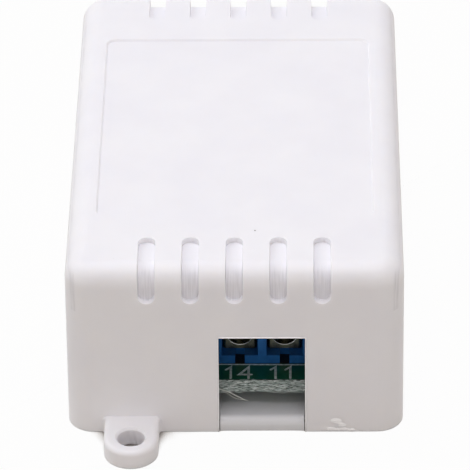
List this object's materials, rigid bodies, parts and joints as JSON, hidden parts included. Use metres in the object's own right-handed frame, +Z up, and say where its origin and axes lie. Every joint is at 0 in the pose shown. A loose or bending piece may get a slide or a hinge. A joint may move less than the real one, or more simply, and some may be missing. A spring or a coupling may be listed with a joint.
{
  "type": "time delay relay module",
  "caption": "Boxed time delay relay module: white moulded case with two screw ears, a wire window at each end, blue screw terminals, a relay and a trimmer on a circuit board.",
  "frame": {"origin": "middle of the underside, on the surface that the case rests on", "axes": "+Z up out of the roof, +Y from the output window to the input window, +X to the right seen from the output end"},
  "size_m": [0.038, 0.0738, 0.022],
  "materials": {
    "case_plastic": "injection-moulded white ABS, satin",
    "screw_steel": "zinc-plated steel",
    "board_laminate": "glass-epoxy laminate under green solder resist",
    "terminal_plastic": "moulded blue polyamide",
    "plated_clamp": "yellow-passivated steel",
    "plated_screw": "nickel-plated steel",
    "tinned_brass": "tinned brass",
    "relay_plastic": "moulded blue polyester",
    "bobbin_plastic": "moulded black polyester",
    "magnet_wire": "enamelled copper wire",
    "relay_iron": "plated soft iron",
    "spring_copper": "beryllium copper strip",
    "contact_silver": "silver alloy on copper strip",
    "tinned_wire": "tinned copper",
    "trimmer_plastic": "moulded blue polyester",
    "brass_screw": "turned brass",
    "capacitor_aluminium": "drawn aluminium",
    "capacitor_film": "shrunk plastic film",
    "bung_rubber": "moulded rubber",
    "chip_epoxy": "moulded epoxy",
    "chip_ceramic": "fired alumina",
    "capacitor_ceramic": "fired ceramic",
    "lamp_lens": "clear moulded epoxy"
  },
  "bodies": {
    "base": {"base_plate": "case_plastic", "case_screws": "screw_steel", "ceramic_capacitor_bodies": "capacitor_ceramic", "ceramic_capacitor_end_caps": "tinned_wire", "chip_resistor_bodies": "chip_ceramic", "chip_resistor_end_caps": "tinned_wire", "circuit_board": "board_laminate", "diodes": "chip_epoxy", "diodes_leads": "tinned_wire", "driver_transistor": "chip_epoxy", "driver_transistor_leads": "tinned_wire", "filter_capacitor_bung": "bung_rubber", "filter_capacitor_can": "capacitor_aluminium", "filter_capacitor_leads": "tinned_wire", "filter_capacitor_sleeve": "capacitor_film", "indicator_lamp_bases": "chip_ceramic", "indicator_lamp_lenses": "lamp_lens", "input_terminal_contacts": "tinned_brass", "input_terminal_housing": "terminal_plastic", "output_terminal_contacts": "tinned_brass", "output_terminal_housing": "terminal_plastic", "relay_base": "relay_plastic", "relay_bobbin": "bobbin_plastic", "relay_closed_contact": "contact_silver", "relay_coil_pins": "tinned_wire", "relay_core": "relay_iron", "relay_cover": "relay_plastic", "relay_open_contact": "contact_silver", "relay_return_spring": "spring_copper", "relay_winding": "magnet_wire", "relay_yoke": "relay_iron", "timer_chip": "chip_epoxy", "timer_chip_leads": "tinned_wire", "timing_capacitor_bung": "bung_rubber", "timing_capacitor_can": "capacitor_aluminium", "timing_capacitor_leads": "tinned_wire", "timing_capacitor_sleeve": "capacitor_film", "trimmer_body": "trimmer_plastic", "trimmer_leads": "tinned_wire", "voltage_regulator": "chip_epoxy", "voltage_regulator_leads": "tinned_wire"},
    "cover": {"top_cover": "case_plastic"},
    "output_screw_left": {"output_clamp_screw_left": "plated_screw"},
    "output_cage_left": {"output_clamp_cage_left": "plated_clamp"},
    "output_screw_right": {"output_clamp_screw_right": "plated_screw"},
    "output_cage_right": {"output_clamp_cage_right": "plated_clamp"},
    "input_screw_left": {"input_clamp_screw_left": "plated_screw"},
    "input_cage_left": {"input_clamp_cage_left": "plated_clamp"},
    "input_screw_right": {"input_clamp_screw_right": "plated_screw"},
    "input_cage_right": {"input_clamp_cage_right": "plated_clamp"},
    "trimmer_screw": {"trimmer_screw": "brass_screw"},
    "relay_armature": {"relay_armature": "relay_iron", "relay_contact_spring": "spring_copper", "relay_moving_contact": "contact_silver"}
  },
  "joints": [
    {"name": "cover_lift", "type": "slide", "parent": "base", "child": "cover", "axis": [0, 0, 1], "range_m": [0, 0.03]},
    {"name": "output_screw_left_turn", "type": "hinge", "parent": "base", "child": "output_screw_left", "pos_m": [0.00048, -0.0201, 0.0134], "axis": [0, 0, -1], "range_deg": [0, 1296]},
    {"name": "output_cage_left_rise", "type": "slide", "parent": "base", "child": "output_cage_left", "axis": [0, 0, 1], "range_m": [0, 0.0018]},
    {"name": "output_screw_right_turn", "type": "hinge", "parent": "base", "child": "output_screw_right", "pos_m": [0.00556, -0.0201, 0.0134], "axis": [0, 0, -1], "range_deg": [0, 1296]},
    {"name": "output_cage_right_rise", "type": "slide", "parent": "base", "child": "output_cage_right", "axis": [0, 0, 1], "range_m": [0, 0.0018]},
    {"name": "input_screw_left_turn", "type": "hinge", "parent": "base", "child": "input_screw_left", "pos_m": [-0.00048, 0.0201, 0.0134], "axis": [0, 0, -1], "range_deg": [0, 1296]},
    {"name": "input_cage_left_rise", "type": "slide", "parent": "base", "child": "input_cage_left", "axis": [0, 0, 1], "range_m": [0, 0.0018]},
    {"name": "input_screw_right_turn", "type": "hinge", "parent": "base", "child": "input_screw_right", "pos_m": [-0.00556, 0.0201, 0.0134], "axis": [0, 0, -1], "range_deg": [0, 1296]},
    {"name": "input_cage_right_rise", "type": "slide", "parent": "base", "child": "input_cage_right", "axis": [0, 0, 1], "range_m": [0, 0.0018]},
    {"name": "trimmer_turn", "type": "hinge", "parent": "base", "child": "trimmer_screw", "pos_m": [-0.0135, -0.0103, 0.0154], "axis": [0, 0, 1], "continuous": true},
    {"name": "relay_armature_swing", "type": "hinge", "parent": "base", "child": "relay_armature", "pos_m": [0.0064, 0.0038, 0.01608], "axis": [1, 0, 0], "range_deg": [0, 1.5], "stiffness_Nm_per_rad": 0.005, "springref_deg": -9.74}
  ],
  "couplings": [
    {"joint": "output_screw_left_turn", "follows": "output_cage_left_rise", "rad_per_m": 12566},
    {"joint": "output_screw_right_turn", "follows": "output_cage_right_rise", "rad_per_m": 12566},
    {"joint": "input_screw_left_turn", "follows": "input_cage_left_rise", "rad_per_m": 12566},
    {"joint": "input_screw_right_turn", "follows": "input_cage_right_rise", "rad_per_m": 12566}
  ]
}
